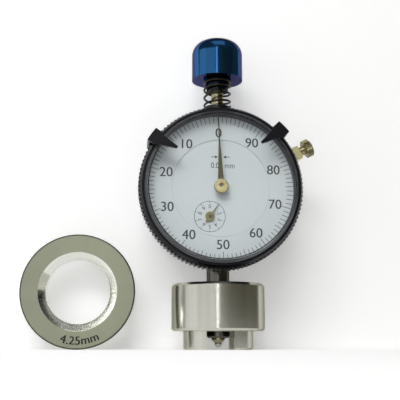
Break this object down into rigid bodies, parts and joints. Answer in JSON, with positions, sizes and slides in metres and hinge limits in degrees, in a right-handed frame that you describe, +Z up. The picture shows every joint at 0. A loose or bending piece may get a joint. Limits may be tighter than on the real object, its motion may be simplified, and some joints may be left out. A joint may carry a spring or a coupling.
{
  "type": "crimp height gauge",
  "caption": "Dial crimp height gauge on a slotted steel spigot base, with a blue sprung push knob, limit clips and a steel setting ring.",
  "frame": {"origin": "centre of the spigot's lower face, on the spindle axis", "axes": "+Z up along the spindle towards the push knob; -Y is the way the dial faces; +X to the dial's right"},
  "size_m": [0.1036, 0.0339, 0.112],
  "materials": {
    "black_paint": "satin black",
    "turned_steel": "fine turned",
    "ground_steel": "ground",
    "hardened_steel": "dark hardened",
    "spring_wire": "dark drawn",
    "brass": "satin",
    "blue_anodise": "blue anodised",
    "dial_enamel": "matt pale grey",
    "bronze_lacquer": "satin",
    "clip_black": "matt black",
    "clear_acrylic": "clear polished",
    "seal_rubber": "matt"
  },
  "bodies": {
    "frame": {"case": "black_paint", "back_cover": "black_paint", "cover_screws": "hardened_steel", "stem": "turned_steel", "upper_bush": "black_paint", "movement_plate": "brass", "pillars": "brass", "guide_rail": "brass", "pinion_cock": "brass", "spring_post": "hardened_steel", "return_spring": "spring_wire", "hairspring": "spring_wire", "dial_plate": "dial_enamel", "bezel_wire": "spring_wire", "clamp_plate": "turned_steel", "clamp_nut": "brass", "base": "turned_steel", "base_set_screw": "hardened_steel", "knob_spring": "spring_wire"},
    "plunger": {"spindle": "turned_steel", "guide_pin": "turned_steel", "knob": "blue_anodise", "contact_point": "hardened_steel", "contact_ball": "turned_steel"},
    "pointer_set": {"main_hand": "bronze_lacquer", "hand_hub": "brass", "centre_arbor": "hardened_steel"},
    "counter_set": {"counter_hand": "bronze_lacquer", "counter_arbor": "hardened_steel", "drive_gear": "brass"},
    "take_up_set": {"take_up_arbor": "hardened_steel", "take_up_gear": "brass"},
    "bezel_set": {"bezel": "black_paint", "crystal": "clear_acrylic", "crystal_seal": "seal_rubber", "dial_ring": "dial_enamel"},
    "left_limit": {"marker_left": "clip_black"},
    "right_limit": {"marker_right": "clip_black"},
    "clamp": {"clamp_screw": "brass"},
    "ring": {"setting_ring": "ground_steel"}
  },
  "joints": [
    {"name": "spindle_slide", "type": "slide", "parent": "frame", "child": "plunger", "axis": [0, 0, -1], "range_m": [0, 0.0052], "stiffness_N_per_m": 800, "springref_m": -0.004, "deforming": ["knob_spring", "return_spring"]},
    {"name": "pointer_turn", "type": "hinge", "parent": "frame", "child": "pointer_set", "pos_m": [0, 0, 0.055], "axis": [0, 1, 0], "range_deg": [-1873, 1]},
    {"name": "counter_turn", "type": "hinge", "parent": "frame", "child": "counter_set", "pos_m": [-0.0038, 0, 0.045], "axis": [0, 1, 0], "range_deg": [-1, 188.5]},
    {"name": "take_up_turn", "type": "hinge", "parent": "frame", "child": "take_up_set", "pos_m": [0.00535, 0, 0.06426], "axis": [0, 1, 0], "range_deg": [-1, 188.5]},
    {"name": "bezel_turn", "type": "hinge", "parent": "frame", "child": "bezel_set", "pos_m": [0, 0, 0.055], "axis": [0, 1, 0], "continuous": true},
    {"name": "left_limit_turn", "type": "hinge", "parent": "bezel_set", "child": "left_limit", "pos_m": [0, 0, 0.055], "axis": [0, 1, 0], "range_deg": [-30, 30]},
    {"name": "right_limit_turn", "type": "hinge", "parent": "bezel_set", "child": "right_limit", "pos_m": [0, 0, 0.055], "axis": [0, 1, 0], "range_deg": [-30, 30]},
    {"name": "clamp_turn", "type": "hinge", "parent": "frame", "child": "clamp", "pos_m": [0.02673, -0.00335, 0.06862], "axis": [0.891, 0, 0.454], "range_deg": [-180, 0]},
    {"name": "ring_lift", "type": "slide", "parent": "frame", "child": "ring", "axis": [0, 0, 1], "range_m": [0, 0.06]}
  ],
  "couplings": [
    {"joint": "counter_turn", "follows": "spindle_slide", "rad_per_m": 628.32},
    {"joint": "take_up_turn", "follows": "spindle_slide", "rad_per_m": 628.32},
    {"joint": "pointer_turn", "follows": "spindle_slide", "rad_per_m": -6283.2}
  ]
}
